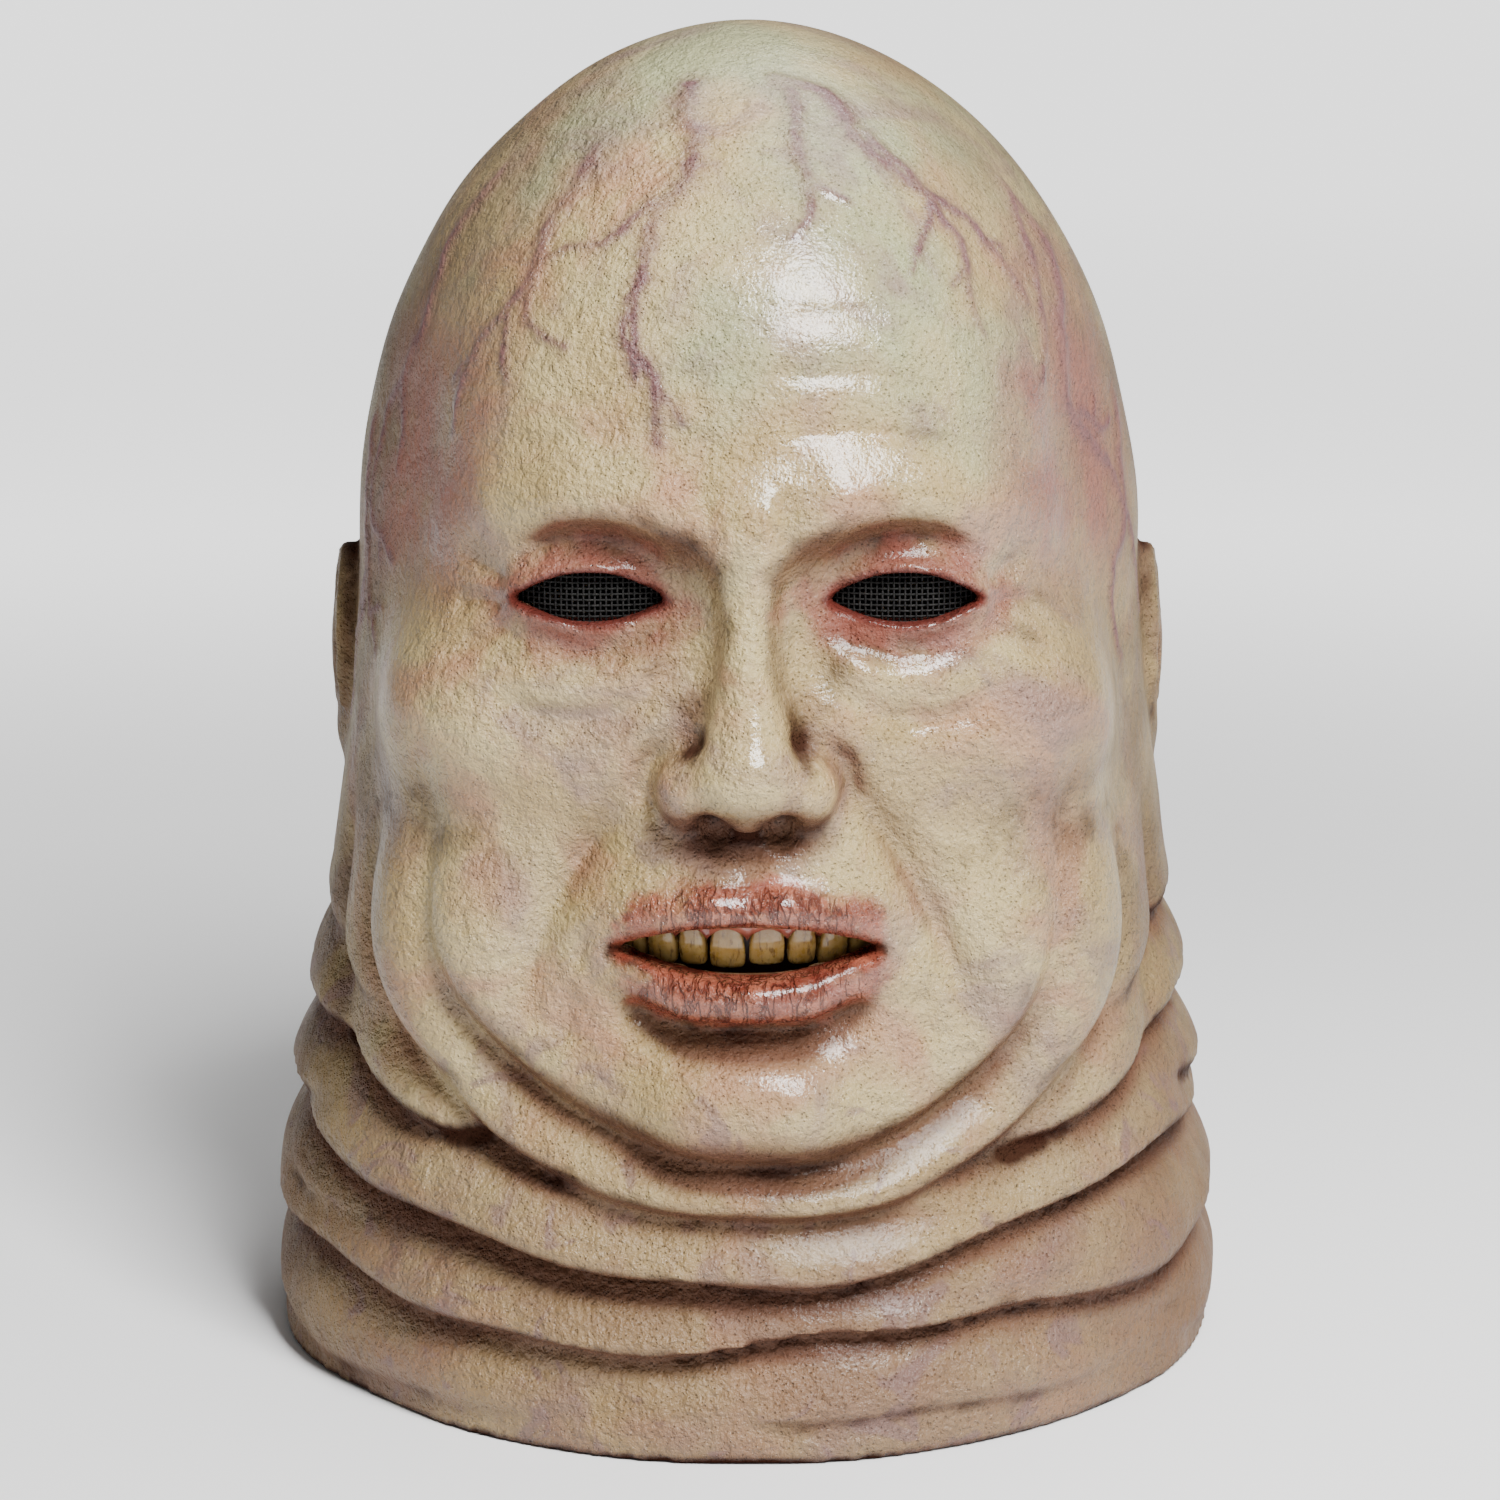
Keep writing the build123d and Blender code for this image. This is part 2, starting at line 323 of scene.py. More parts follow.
def sculpt_cranium(clay):
    clay.swell((38, 262), (26, 20), 1.6)
    clay.swell((0, 268), (22, 24), 0.8)
    clay.swell((118, 232), (30, 26), -2.6)
    clay.swell((92, 214), (24, 26), -2.4)
    clay.swell((314, 200), (60, 40), 1.6)
    clay.d += 0.9 * waves(clay.x, clay.y, clay.z, 95, 3)
    clay.d += 0.35 * waves(clay.x, clay.y, clay.z, 38, 4)


def sculpt_brow_and_eyes(clay):
    brow = ((6, -93, 212), (20, -92.5, 215), (36, -87, 216.5), (50, -76, 214), (60, -64, 208))
    clay.rope(brow, (9, 10, 9.5, 8, 6), 9)
    clay.ball((0, -94, 211), (13, 10, 11), 8)
    clay.ball((34, -104, 198), (21, 14.5, 13.5), 9, cut=True)
    clay.ball((15, -106, 190), (7, 8, 15), 8, cut=True)
    clay.ball((EYE_X, LID_Y, EYE_Z), LID_RADII, 4)
    clay.ball((38, -82, 176.5), (19, 12, 6.5), 6)
    for height, offset, radius in ((6.2, 0.8, 1.5), (-4.96, -0.8, 1.4)):
        rim = []
        for u in np.linspace(-1, 1, 13):
            s, z = EYE_X + EYE_HALF * u, EYE_Z + height * (1 - u * u) + offset
            rim.append((s, lid_surface(s, z), z))
        clay.rope(rim, [radius] * len(rim), 1.2)
    i = clay.near((EYE_X - 20, -130, EYE_Z - 9), (EYE_X + 20, -84, EYE_Z + 9), 3)
    clay.add(i, np.maximum(eye_slit(clay.s[i], clay.z[i]) * 0.9, clay.y[i] + 89.5), 1.2, True)
    clay.groove(((16, 199), (24, 207.5), (35, 210), (46, 207.5), (55, 199)), 4.5, 2.2)
    clay.groove(((17, 191), (25, 184.5), (36, 182.5), (47, 186)), 4.5, 1.6)
    clay.groove(((15, 186), (23, 174), (35, 168.5), (49, 170), (59, 178)), 6, 2.2)
    clay.groove(((54, 197), (62, 201), (71, 203)), 3.6, 2.0)
    clay.groove(((54, 193.5), (63, 193), (72, 191)), 3.6, 2.0)
    clay.groove(((53, 189.5), (61, 185), (69, 180)), 3.6, 1.9)
    clay.groove(((7.5, 206), (8.5, 214), (7.5, 222)), 3.6, 1.7)


def lid_surface(s, z):
    """Where the bulge of the lids lies, as y."""
    inside = 1 - ((s - EYE_X) / LID_RADII[0]) ** 2 - ((z - EYE_Z) / LID_RADII[2]) ** 2
    return LID_Y - LID_RADII[1] * math.sqrt(max(inside, 0.02))


def sculpt_nose(clay):
    bridge = ((0, -96.5, 206), (0, -101, 190), (0, -105, 174), (0, -108.3, 160))
    clay.rope(bridge, (8, 7.6, 8.2, 10.6), 7)
    clay.ball((0, -107, 157), (13.5, 13, 10), 4)
    clay.ball((12.6, -102.5, 154.5), (8, 11.5, 8.4), 4)
    clay.ball((0, -106, 149.5), (4.2, 9.5, 5.5), 3)
    clay.ball((7.6, -107.5, 146.5), (3.9, 6.8, 5), 1.8, tilt=-20, cut=True)
    clay.groove(((15, 164), (21.5, 160), (23, 153), (19.5, 146.5)), 4.5, 2.6)
    clay.groove(((8, 168), (11.5, 161), (12.5, 154)), 4.0, 0.9)
    clay.groove(((0, 146), (0, 140), (0, 133)), 5.0, 1.8, (0, 0.2))


def sculpt_cheeks_and_jaw(clay):
    clay.ball((54, -66, 164), (28, 26, 23), 18)
    clay.ball((55, -64, 112), (31, 31, 34), 18)
    clay.ball((0, -88, 121), (37, 23, 25), 12)
    clay.ball((0, -97, 82), (25, 19.5, 14.5), 9)
    clay.ball((11, -100, 80), (12, 15, 11), 6)
    clay.ball((0, -84, 60), (56, 30, 11), 8)
    laugh_line = ((19, 158), (28, 146), (38, 132), (45, 116), (47, 101), (41, 88))
    clay.jowl(laugh_line, 11, 5.5, (0.3, 0.35))
    clay.groove(((36, 108), (39, 101), (38, 93)), 5, 2.0)
    clay.groove(((-2, 99.5), (12, 99.5), (22, 103), (28, 107)), 9, 5.4, (0, 0.3))
    cheek = ((66, 176), (72, 158), (73, 138), (70, 116), (62, 96))
    clay.jowl(cheek + ((48, 80), (30, 70), (14, 65.5), (-2, 65)), 12, 8.5, (0.6, 0.0))
    jaw = ((96, 150), (98, 128), (93, 106), (80, 86), (60, 69), (36, 58), (16, 53.5), (-2, 53))
    clay.jowl(jaw, 11, 7.0)
    clay.jowl(((118, 150), (122, 128), (120, 108), (110, 90), (94, 76)), 11, 5.5, (0.4, 0.35))
    clay.jowl(((142, 132), (150, 116), (150, 98), (140, 84)), 10, 4.0, (0.4, 0.35))


def sculpt_lips(clay):
    for knots, radii in LIPS:
        clay.rope(knots, radii, 3.0)
    i = clay.near((0, -130, MOUTH_Z - 12), (MOUTH_HALF + 4, -84, MOUTH_Z + 12), 3)
    before = ARCH_R + 4.2 - np.hypot(clay.x[i], clay.y[i] - ARCH_Y)
    clay.add(i, np.maximum(mouth_slit(clay.s[i], clay.z[i]) * 0.9, before), 2.2, True)
    clay.ball((36.5, -91, 117.5), (4.5, 4, 6), 3)
    clay.groove(((33, 122), (35.5, 117.5), (34, 111)), 3.2, 1.6)


def sculpt_ears(clay):
    ear = clay.turned((96, -4), 7)
    ear.ball((96.3, 10, 169), (4.4, 12.5, 24), 3.5, tilt=8)
    ear.ball((95.5, 12, 164), (5.5, 9, 17), 5)
    rim, radii = [], []
    for t in np.linspace(-40, 212, 17):
        a = math.radians(t)
        y = 10 - 12.6 * math.cos(a) + 2.2 * math.sin(a)
        z = 169 + 21.5 * math.sin(a) - 6.0 * max(t - 150, 0) / 62
        rim.append((99.4 - 2.0 * max(math.sin(a), 0) ** 2, y, z))
        radii.append(2.7 - 0.6 * (t < 0))
    ear.rope(rim, radii, 1.8)
    ear.ball((97.8, 5.5, 147), (3.6, 6.3, 6.6), 4)
    ear.ball((103.0, 4.5, 163), (5.6, 6.6, 9.0), 2.2, cut=True)
    inner_rim = ((98.8, 10, 152), (99.8, 14.2, 160), (100, 14.0, 170), (99.4, 10.2, 179))
    ear.rope(inner_rim, (1.9, 2.3, 2.2, 1.6), 2)
    ear.ball((98.4, -2.6, 163), (3.4, 2.8, 5.0), 2)


# heights and depths at the front, side and back, half width
CREASES = (
    ((7, 6, 7), (2.4, 2.8, 2.4), 6.0),
    ((18, 28, 27), (11.5, 11.5, 9.0), 13.0),
    ((34, 55, 53), (13.5, 13.5, 10.5), 14.0),
    ((52, 81, 78), (5.0, 12.5, 10.5), 13.5),
    ((71, 106, 102), (0.0, 7.5, 9.0), 12.5),
)

# (way round, height) knots, half width and depth of creases that run into the long ones
SHORT_CREASES = (
    (((-150, 50), (-128, 40), (-105, 37), (-84, 39)), 9, 5.0),
    (((50, 22), (80, 15), (110, 12), (140, 14)), 8, 4.5),
    (((-66, 22), (-40, 12), (-14, 10)), 8, 3.6),
    (((100, 76), (130, 64), (160, 62), (185, 64)), 9, 5.0),
    (((-100, 70), (-126, 62), (-150, 66)), 8, 3.6),
    (((18, 40), (44, 32), (72, 34), (96, 40)), 7, 3.4),
)


def sculpt_neck_rolls(clay):
    azimuth = clay.side / 100
    round_front = smoothstep(0.0, 1.75, np.abs(azimuth))
    round_back = smoothstep(1.55, math.pi, np.abs(azimuth))
    droop = clay.z + 0.95 * np.clip(clay.d, -13, 7)
    deepest = np.zeros_like(clay.d)
    random = np.random.default_rng(11)
    for heights, depths, width in CREASES:
        phase = random.uniform(0, 2 * math.pi, 4)
        wobble = 2.3 * np.sin(3 * azimuth + phase[0]) + 1.5 * np.sin(5 * azimuth + phase[1])
        wobble += 0.8 * np.sin(11 * azimuth + phase[2])
        height, depth = (
            front + (side - front) * round_front + (back - side) * round_back
            for front, side, back in (heights, depths)
        )
        depth = depth * (1 + 0.16 * np.sin(4 * azimuth + phase[3]))
        deepest = np.maximum(deepest, depth * fold(np.abs(droop - height - wobble) / width))
    clay.d += deepest
    for knots, width, depth in SHORT_CREASES:
        gap, along = line_distance(clay.side, droop, smooth_line(knots))
        clay.d += depth * faded(along, 0.35, 0.35) * fold(gap / width)


def sculpt(points):
    """Distance from points, in mm, to the outside of the sculpted head."""
    clay = Clay(points)
    sculpt_cranium(clay)
    sculpt_neck_rolls(clay)
    sculpt_cheeks_and_jaw(clay)
    sculpt_nose(clay)
    sculpt_brow_and_eyes(clay)
    sculpt_lips(clay)
    sculpt_ears(clay)
    clay.groove(((0, 231), (22, 233), (42, 230), (56, 224)), 3.4, 1.0)
    clay.groove(((0, 243.5), (20, 245), (40, 243), (50, 239)), 3.4, 0.9)
    clay.groove(((6, 256), (24, 257.5), (38, 256)), 3.2, 0.7)
    return clay.d


# ---- meshing
def evaluate(field, low, high, voxel, far):
    """Dense array of field over a box, worked out in full only near the surface."""
    count = [int(round((b - a) / voxel)) + 1 for a, b in zip(low, high)]
    axes = [a + voxel * np.arange(n) for a, n in zip(low, count)]
    step = 4
    coarse_axes = [np.append(axis[::step], axis[-1] + voxel * step) for axis in axes]
    mesh = np.meshgrid(*coarse_axes, indexing="ij")
    coarse = field(np.stack([m.ravel() for m in mesh], 1)).reshape(mesh[0].shape)
    near = np.abs(coarse) < 2.0 * step * voxel + 2
    cell = np.zeros([n - 1 for n in near.shape], bool)
    for corner in np.ndindex(2, 2, 2):
        cell |= near[tuple(slice(c, c + n) for c, n in zip(corner, cell.shape))]
    outside = coarse[:-1, :-1, :-1] > 0
    for axis in range(3):
        cell = np.repeat(cell, step, axis)
        outside = np.repeat(outside, step, axis)
    inner = tuple(slice(n) for n in count)
    cell = cell[inner]
    values = np.where(outside[inner], far, -far).astype(np.float32)
    index = np.argwhere(cell)
    points = np.stack([axes[a][index[:, a]] for a in range(3)], 1)
    values[cell] = np.clip(field(points), -far, far)
    return values


def to_quads(values, low, voxel, background):
    """Points in mm and quads of the surface where a dense array passes 0."""
    grid = vdb.FloatGrid()
    grid.background = background
    grid.copyFromArray(np.ascontiguousarray(values, np.float32))
    points, quads = grid.convertToQuads(isovalue=0.0)
    return points * voxel + np.array(low, np.float32), quads


def edge_ends(quads):
    """Both ends of every edge, once for each quad at it."""
    return np.concatenate([quads[:, (k, (k + 1) % 4)] for k in range(4)])


def largest_part(points, quads):
    """Drops the specks that a grid leaves in narrow creases."""
    ends = edge_ends(quads)
    label = np.arange(len(points))
    while True:
        lower = label.copy()
        np.minimum.at(lower, ends[:, 0], label[ends[:, 1]])
        np.minimum.at(lower, ends[:, 1], label[ends[:, 0]])
        lower = lower[lower]
        if np.array_equal(lower, label):
            break
        label = lower
    kept = label == np.bincount(label).argmax()
    renumbered = np.cumsum(kept) - 1
    return points[kept], renumbered[quads[kept[quads[:, 0]]]]


def true_distance(points, quads, low, shape, voxel, reach):
    """Dense array of the exact distance to a closed mesh, kept within reach."""
    scaled = ((points - np.array(low)) / voxel).astype(np.float32)
    unit = vdb.createLinearTransform(voxelSize=1.0)
    level_set = vdb.FloatGrid.createLevelSetFromPolygons(
        scaled, quads=quads, transform=unit, halfWidth=reach / voxel
    )
    values = np.zeros(shape, np.float32)
    level_set.copyToArray(values)
    return values


def mesh_object(name, points, faces):
    """Smooth mesh object from points in mm and faces that all have as many corners."""
    mesh = bpy.data.meshes.new(name)
    points = np.ascontiguousarray(points * MM, np.float32)
    faces = np.ascontiguousarray(faces, np.int32)
    corners = faces.shape[1]
    mesh.vertices.add(len(points))
    mesh.vertices.foreach_set("co", points.ravel())
    mesh.loops.add(faces.size)
    mesh.loops.foreach_set("vertex_index", faces.ravel())
    mesh.polygons.add(len(faces))
    mesh.polygons.foreach_set("loop_start", np.arange(0, faces.size, corners, dtype=np.int32))
    mesh.polygons.foreach_set("loop_total", np.full(len(faces), corners, np.int32))
    mesh.update(calc_edges=True)
    mesh.validate()
    mesh.shade_smooth()
    obj = bpy.data.objects.new(name, mesh)
    bpy.context.scene.collection.objects.link(obj)
    return obj


def axis_planes(low, shape, voxel):
    """The grid's x, y and z, shaped to broadcast against it."""
    planes = []
    for axis in range(3):
        values = (low[axis] + voxel * np.arange(shape[axis])).astype(np.float32)
        planes.append(values.reshape([-1 if axis == a else 1 for a in range(3)]))
    return planes


def snapped(corner, voxel):
    """Grid corner at or below a corner, with the middle plane on a layer of the grid."""
    return [voxel * math.floor(c / voxel) for c in corner]


def slit_opening(x, z):
    """Below 0 inside the nape slit and the teardrop at its top, seen from behind."""
    half = np.interp(z, (RELIEF_END_Z, RELIEF_Z), (0.5, RELIEF_R)).astype(np.float32)
    above = np.hypot(x, np.maximum(z - SLIT_TOP, 0))
    return np.where(z > SLIT_TOP, above - RELIEF_R, np.abs(x) - half)


def build_shell():
    """The latex wall as points and quads, with each point's depth under the outer surface."""

    def block(points):
        """The sculpted head, cut off level below the hem."""
        return np.maximum(sculpt(points), HEM_STUB_Z - points[:, 2])

    voxel = SKIN_VOXEL
    low = snapped(SKIN_LOW, voxel)
    values = evaluate(block, low, SKIN_HIGH, voxel, 4 * voxel)
    points, quads = to_quads(values, low, voxel, 4 * voxel)
    depth = true_distance(points, quads, low, values.shape, voxel, WALL + 3 * voxel) * voxel
    x, y, z = axis_planes(low, values.shape, voxel)
    s = np.sqrt(x**2 + 4.0)
    shell = np.maximum(depth, -(depth + WALL))
    front = y < -60
    for opening in (eye_slit(s, z) + 0.2, mouth_slit(s, z) + 0.2):
        shell = np.where(front, np.maximum(shell, -opening), shell)
    offsets = [values - c for values, c in zip((s, y, z), NOSTRIL)]
    size = np.sqrt(sum((offset / radius) ** 2 for offset, radius in zip(offsets, NOSTRIL_RADII)))
    shell = np.maximum(shell, 3 * (1 - size))
    shell = np.where(y > 60, np.maximum(shell, -slit_opening(x, z)), shell)
    shell = np.maximum(shell, -z)
    points, quads = largest_part(*to_quads(shell, low, voxel, 2 * voxel))
    index = np.rint((points - np.array(low)) / voxel).astype(int)
    index = np.minimum(index, np.array(values.shape) - 1)
    return points, quads, depth[index[:, 0], index[:, 1], index[:, 2]]


# ---- veins
# azimuth from the face and heading (0 is round to +X, -90 down) in degrees, radius at the start
# azimuth, height, heading, length, radius
VEINS = (
    (-17, 306, -95, 105, 2.25),
    (10, 308, -62, 85, 2.1),
    (-34, 292, -120, 80, 1.8),
    (30, 296, -80, 60, 1.5),
    (-62, 286, -100, 120, 2.1),
    (64, 284, -84, 130, 2.25),
    (80, 232, -100, 70, 1.95),
    (-80, 226, -82, 80, 1.95),
    (-100, 290, -95, 110, 1.95),
    (104, 286, -85, 110, 1.95),
    (140, 300, -80, 120, 2.1),
    (-146, 296, -100, 120, 2.1),
    (178, 306, -94, 100, 1.95),
    (66, 150, -88, 70, 1.8),
    (-70, 158, -95, 80, 1.8),
    (118, 190, -70, 90, 1.8),
    (-120, 196, -110, 90, 1.8),
    (160, 210, -95, 70, 1.65),
    (-38, 60, -60, 60, 2.25),
    (46, 40, -20, 50, 2.25),
    (88, 62, -95, 55, 2.1),
    (-92, 70, -80, 60, 2.1),
    (-12, 24, 10, 40, 2.1),
    (150, 80, -110, 60, 1.5),
    (-160, 84, -70, 60, 1.5),
)


def base_point(azimuth, z):
    """Point of the plain head at an azimuth, in degrees, and a height."""
    a = math.radians(azimuth)
    rise = max(z - EQUATOR_Z, 0) / (CROWN_Z - EQUATOR_Z)
    shrink = math.sqrt(max(1 - rise * rise, 0))
    reach = 104 if math.cos(a) > 0 else 112
    return Vector((96 * shrink * math.sin(a), -reach * shrink * math.cos(a), z))


def grow_vein(skin, random, start, heading, length, radius, lines):
    """Walks a vein over the skin and lets branches leave it."""
    points, radii = [], []
    here, walked, wander = start, 0.0, 0.0
    while walked < length:
        _, spot, normal, _ = skin.closest_point_on_mesh(here * MM)
        here = spot / MM
        points.append(tuple(here))
        radii.append(radius * (1 - 0.55 * walked / length))
        across = Vector((-normal.y, normal.x, 0))
        if across.length < 0.05:
            across = Vector((1, 0, 0))
        across.normalize()
        up = normal.cross(across)
        up *= 1 if up.z >= 0 else -1
        wander = 0.86 * wander + random.normal(0, 15)
        turn = math.radians(heading + wander)
        here = here + VEIN_STEP * (math.cos(turn) * across + math.sin(turn) * up)
        walked += VEIN_STEP
        if radius > 1.2 and random.random() < 0.075:
            side = random.choice((-1, 1)) * random.uniform(32, 62)
            rest = (length - walked) * random.uniform(0.4, 0.7)
            heading_off = heading + wander / 2 + side
            grow_vein(skin, random, here, heading_off, rest, radii[-1] * 0.75, lines)
    if len(points) > 2:
        lines.append((np.array(points, np.float32), radii))


def vein_field(skin, points):
    """For each point, its distance to the nearest vein over that vein's radius."""
    random = np.random.default_rng(23)
    lines = []
    for azimuth, z, heading, length, radius in VEINS:
        grow_vein(skin, random, base_point(azimuth, z), heading, length, radius, lines)
    nearest = np.full(len(points), FAR_VEIN, np.float32)
    steps, margin = 6, 8
    for line, radii in lines:
        for first in range(0, len(line) - 1, steps):
            part = line[first : first + steps + 1]
            inside = (points > part.min(0) - margin) & (points < part.max(0) + margin)
            i = np.nonzero(np.all(inside, axis=1))[0]
            gap = rope_distance(*points[i].T, part, [0.0] * len(part)) / radii[first]
            nearest[i] = np.minimum(nearest[i], gap)
    return nearest


# ---- skin surface
def vertex_normals(obj):
    normals = np.zeros(len(obj.data.vertices) * 3, np.float32)
    obj.data.vertex_normals.foreach_get("vector", normals)
    return normals.reshape(-1, 3)


def set_attribute(mesh, name, values):
    kind, key = ("FLOAT", "value") if values.ndim == 1 else ("FLOAT_VECTOR", "vector")
    attribute = mesh.attributes.new(name, kind, "POINT")
    attribute.data.foreach_set(key, np.ascontiguousarray(values, np.float32).ravel())


def occlusion(points, normals, reach):
    """How far the sculpted surface closes in over each point, from 0 to about 1."""
    distance = sculpt(points + normals * reach)
    return np.clip(1 - distance / reach, 0, 1.4)


def soften(values, quads, rounds):
    """Values at the points of a mesh, evened out with those of their neighbours."""
    ends = edge_ends(quads)
    count = np.bincount(ends[:, 0], minlength=len(values)) + 1
    for _ in range(rounds):
        around = np.bincount(ends[:, 0], values[ends[:, 1]], minlength=len(values))
        values = (values + around) / count
    return values


def build_skin():
    points, quads, depth = build_shell()
    skin = mesh_object("whole_skin", points, quads)
    normals = vertex_normals(skin)
    outer = depth > -0.45 * WALL
    # how closed in each outer point is, for the brown wash and painted shade in hollows and creases
    crease, shade_and_wash = np.zeros((2, len(points)), np.float32)
    shown, outward = points[outer].astype(np.float32), normals[outer]
    crease[outer] = occlusion(shown, outward, 2.8)
    shade_and_wash[outer] = 0.5 * occlusion(shown, outward, 6) + 0.5 * occlusion(shown, outward, 14)
    # painted shade under things: faces that look down are darkened more
    shade_and_wash[outer] += 0.4 * np.clip(-outward[:, 2], 0, 1)
    vein = np.full(len(points), FAR_VEIN, np.float32)
    vein[outer] = vein_field(skin, shown)
    x, y, z = points.T.astype(np.float32)
    s = np.sqrt(x**2 + 4)
    azimuth = np.abs(np.arctan2(x, -y))
    even = 0.85  # azimuth means nothing at the crown, so it evens out there
    points = points + normals * (VEIN_LIFT * np.exp(-0.9 * vein**2) * outer)[:, None]
    mesh = skin.data
    mesh.vertices.foreach_set("co", np.ascontiguousarray(points * MM, np.float32).ravel())
    for name, values in {
        "rest": points * MM,
        "crease": soften(crease, quads, 3),
        "shade_and_wash": soften(shade_and_wash, quads, 2),
        "vein": vein,
        "inside": smoothstep(-0.35 * WALL, -0.75 * WALL, depth),
        "lips": np.min([rope_distance(s, y, z, knots, radii) for knots, radii in LIPS], axis=0),
        "eyes": np.maximum(eye_slit(s, z), np.abs(y + 92) - 14),
        "azimuth": even + (azimuth - even) * smoothstep(4, 55, np.hypot(x, y)),
    }.items():
        set_attribute(mesh, name, values)
    mesh.update()
    return skin


def cut_piece(skin, name, planes):
    """Copy of the skin on the inner side of some planes, with flat faces where it was cut."""
    piece = skin.copy()
    piece.data = skin.data.copy()
    piece.name = piece.data.name = name
    bpy.context.scene.collection.objects.link(piece)
    bm = bmesh.new()
    bm.from_mesh(piece.data)
    for point, outward in planes:
        geometry = bm.verts[:] + bm.edges[:] + bm.faces[:]
        cut = bmesh.ops.bisect_plane(
            bm, geom=geometry, plane_co=point, plane_no=outward, clear_outer=True, dist=1e-7
        )
        edges = [e for e in cut["geom_cut"] if isinstance(e, bmesh.types.BMEdge) and e.is_boundary]
        filled = bmesh.ops.triangle_fill(bm, edges=edges, use_beauty=True, normal=outward)
        for face in filled["geom"]:
            if isinstance(face, bmesh.types.BMFace):
                face.smooth = False
                for edge in face.edges:
                    edge.smooth = False
    bm.to_mesh(piece.data)
    bm.free()
    return piece


# ---- fittings
def mesh_field(name, field, low, high, voxel):
    """Closed mesh object of a field given in millimetres."""
    low = snapped(low, voxel)
    count = [int(math.ceil((b - a) / voxel)) + 1 for a, b in zip(low, high)]
    grid = np.broadcast_arrays(*axis_planes(low, count, voxel))
    values = field(np.stack([plane.ravel() for plane in grid], 1)).reshape(count)
    values = np.clip(values, -3 * voxel, 3 * voxel)
    points, quads = to_quads(values, low, voxel, 3 * voxel)
    obj = mesh_object(name, points, quads)
    set_attribute(obj.data, "rest", points * MM)
    return obj


def rounded_plate(u, v, centre, half, corner):
    """Distance in a plane to a rectangle with rounded corners."""
    a = np.abs(u - centre[0]) - (half[0] - corner)
    b = np.abs(v - centre[1]) - (half[1] - corner)
    outside = np.hypot(np.maximum(a, 0), np.maximum(b, 0))
    return outside + np.minimum(np.maximum(a, b), 0) - corner


def arch_place(points):
    """Way round the arch of the teeth and distance from its axis."""
    x, y, _ = points.T
    return np.arctan2(x, -(y - ARCH_Y)), np.hypot(x, y - ARCH_Y)


def tooth_places():
    """Angle on the arch, width and a number for each tooth."""
    places, reach = [], 0.0
    for number, width in enumerate(TOOTH_WIDTHS):
        turn = (reach + width / 2 + TOOTH_SPACE / 2) / ARCH_R
        reach += width + TOOTH_SPACE
        places += [(turn, width, number), (-turn, width, number)]
    return places


def teeth_field(points):
    """Ten worn teeth, each a block with rounded edges bent to the arch."""
    angle, radius = arch_place(points)
    z = points[:, 2]
    random = np.random.default_rng(5)
    total = np.full(len(points), 9.0, np.float32)
    rounding = 1.15
    for turn, width, number in tooth_places():
        canine = number == 2
        lean = random.normal(0, 0.012)
        drop = random.normal(0, 0.3) + (0.7 if canine else 0.0)
        push = random.normal(0, 0.28)
        up = z - (TOOTH_TIP_Z - drop)
        across = (angle - turn) * ARCH_R + lean * up
        half = width / 2 * (1.0 - 0.20 * smoothstep(3.5, 11, up)) - 0.12
        up = up - (0.9 if canine else 0.25) * (across / half) ** 2
        deep = 1.45 + 1.0 * smoothstep(0, 6, up)
        out = radius - (ARCH_R - 2.3 + push) + 0.5 * (across / half) ** 2
        out += 0.07 * np.cos(across * 2.3) + 0.05 * np.sin(z * 3.1 + 5 * turn)
        middle = TOOTH_LENGTH / 2
        past = [np.abs(across) - half, np.abs(out) - deep, np.abs(up - middle) - middle]
        past = [side + rounding for side in past]
        beyond = np.sqrt(sum(np.maximum(side, 0) ** 2 for side in past))
        form = beyond + np.minimum(np.maximum.reduce(past), 0) - rounding
        total = np.minimum(total, form)
    return total


def gum_field(points):
    """Gum with a scallop over each tooth."""
    angle, radius = arch_place(points)
    z = points[:, 2]
    low_edge = TOOTH_TIP_Z + 6.2
    line = np.full(len(points), low_edge, np.float32)
    bulge = np.zeros(len(points), np.float32)
    for turn, width, _ in tooth_places():
        across = (angle - turn) * ARCH_R / (width / 2 + TOOTH_SPACE / 2)
        over = np.clip(1 - across * across, 0, 1)
        line = np.maximum(line, low_edge + 2.5 * over**0.8)
        bulge = np.maximum(bulge, over)
    lump = 0.18 * waves(points[:, 0], points[:, 1], z, 5, 9)
    front = radius - (ARCH_R + 0.5 + 0.75 * bulge * smoothstep(0, 3, z - line) + lump)
    back = (ARCH_R - 5.5) - radius
    form = carve(np.maximum(front, back), -(line - z), 1.6)
    form = carve(form, -(z - TOOTH_TIP_Z - 17), 1.5)
    return np.maximum(form, (np.abs(angle) - math.radians(50)) * ARCH_R)


def build_mouth():
    low, high = (-42, -104, 108), (42, -74, 134)
    teeth = mesh_field("stained_teeth", teeth_field, low, high, FINE_VOXEL)
    gum = mesh_field("gum", gum_field, low, high, FINE_VOXEL)
    return teeth, gum


def layer_piece(name, voxel, low, high, plate, depth, k, surface):
    """Piece that lines the inside of the casting between two depths, cut to a plate."""

    def field(points):
        distance = surface(points)
        layer = np.maximum(distance + depth[0], -(distance + depth[1]))
        return carve(layer, -plate(points), k)

    return mesh_field(name, field, low, high, voxel)


def plain_head(points):
    return head_base(*points.T)


